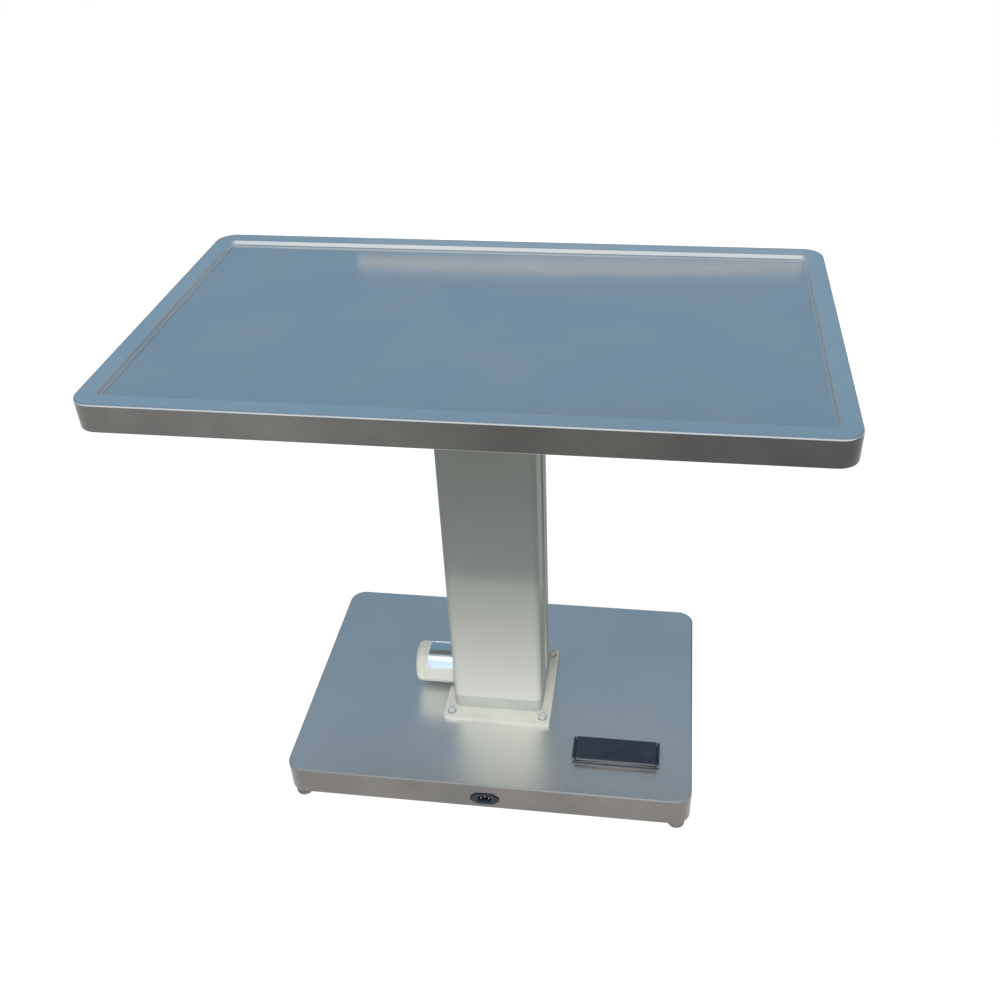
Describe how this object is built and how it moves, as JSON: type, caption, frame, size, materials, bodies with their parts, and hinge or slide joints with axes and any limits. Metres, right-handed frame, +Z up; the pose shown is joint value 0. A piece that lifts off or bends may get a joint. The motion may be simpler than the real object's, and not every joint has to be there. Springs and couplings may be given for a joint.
{
  "type": "veterinary examination table",
  "caption": "Examination table: stainless tray top on an electric telescopic lifting column, with motor, foot switch and mains inlet on a flat pan base.",
  "frame": {"origin": "on the floor, under the middle of the table", "axes": "+Z up, +X along the table to its right, -Y towards its front, where the mains inlet is"},
  "size_m": [1.05, 0.6, 0.85],
  "materials": {
    "satin_stainless": "satin",
    "chipboard": "raw",
    "zinc_plated_steel": "zinc plated",
    "ivory_paint": "semi-gloss",
    "grey_blue_paint": "semi-gloss",
    "ground_steel_tube": "ground",
    "blackened_steel": "black oxide",
    "white_acetal": "matte",
    "black_plastic": "matte",
    "ivory_plastic": "satin",
    "black_rubber": "matte",
    "die_cast_aluminium": "as cast",
    "bronze": "machined",
    "bearing_steel": "polished",
    "bright_steel": "turned",
    "ferrite_magnet": "matte",
    "rotor_steel": "laminated",
    "green_laminate": "satin",
    "grey_plastic": "matte",
    "grey_cable": "matte",
    "spring_steel": "bright",
    "plated_brass": "nickel plated"
  },
  "bodies": {
    "base": {"outer_column_tube": "ivory_paint", "column_foot": "grey_blue_paint", "column_screws": "zinc_plated_steel", "column_top_ring": "black_plastic", "upper_glide_pads": "white_acetal", "mount_plate": "ivory_paint", "mount_plate_bolts": "zinc_plated_steel", "mount_plate_washers_and_nuts": "zinc_plated_steel", "gearbox_housing": "die_cast_aluminium", "gearbox_cover": "die_cast_aluminium", "gearbox_screws": "zinc_plated_steel", "spindle_bearing_outer_rings": "bearing_steel", "worm_bearing_outer_rings": "bearing_steel", "motor_flange": "die_cast_aluminium", "motor_screws": "zinc_plated_steel", "motor_can": "blackened_steel", "motor_rear_shield": "die_cast_aluminium", "motor_magnets": "ferrite_magnet", "motor_brush_holder": "black_plastic", "motor_cover": "ivory_plastic", "motor_end_cap": "ivory_plastic", "base_pan": "satin_stainless", "reinforcement_plate": "zinc_plated_steel", "base_channels": "zinc_plated_steel", "corner_brackets": "zinc_plated_steel", "feet": "black_rubber", "foot_studs_and_nuts": "zinc_plated_steel", "control_box_case": "grey_plastic", "control_box_lid": "grey_plastic", "circuit_card": "green_laminate", "mains_lead": "grey_cable", "motor_lead": "grey_cable", "pedal_lead": "grey_cable", "inlet_body": "black_plastic", "inlet_contacts": "plated_brass", "inlet_screws": "zinc_plated_steel", "switch_housing": "black_plastic", "pedal_pin": "bright_steel", "pedal_springs": "spring_steel", "microswitches": "grey_plastic"},
    "lift": {"top_tray": "satin_stainless", "top_core_board": "chipboard", "board_screws": "zinc_plated_steel", "subframe_rails": "zinc_plated_steel", "subframe_crossbars": "zinc_plated_steel", "head_plate": "grey_blue_paint", "head_plate_bolts": "zinc_plated_steel", "inner_column_tube": "ground_steel_tube", "lower_glide_pads": "white_acetal", "spindle_nut": "bronze", "nut_carrier": "zinc_plated_steel", "nut_screws": "zinc_plated_steel"},
    "spindle_shaft": {"spindle": "bright_steel", "worm_wheel": "bronze", "spindle_stop_disc": "zinc_plated_steel", "spindle_bearing_inner_rings": "bearing_steel"},
    "motor_shaft": {"worm_shaft": "bright_steel", "motor_rotor": "rotor_steel", "worm_bearing_inner_rings": "bearing_steel"},
    "pedal": {"rocker_pedal": "black_plastic"}
  },
  "joints": [
    {"name": "lift", "type": "slide", "parent": "base", "child": "lift", "axis": [0, 0, 1], "range_m": [0, 0.3]},
    {"name": "spindle_spin", "type": "hinge", "parent": "base", "child": "spindle_shaft", "pos_m": [0, 0.03, 0.122], "axis": [0, 0, 1], "continuous": true},
    {"name": "motor_spin", "type": "hinge", "parent": "base", "child": "motor_shaft", "pos_m": [0, 0, 0.122], "axis": [1, 0, 0], "continuous": true},
    {"name": "pedal_rock", "type": "hinge", "parent": "base", "child": "pedal", "pos_m": [0.225, -0.1515, 0.066], "axis": [0, 1, 0], "range_deg": [-3, 3], "stiffness_Nm_per_rad": 4, "deforming": ["pedal_springs"]}
  ],
  "couplings": [
    {"joint": "spindle_spin", "follows": "lift", "rad_per_m": -523.6},
    {"joint": "motor_spin", "follows": "lift", "rad_per_m": 5236}
  ]
}
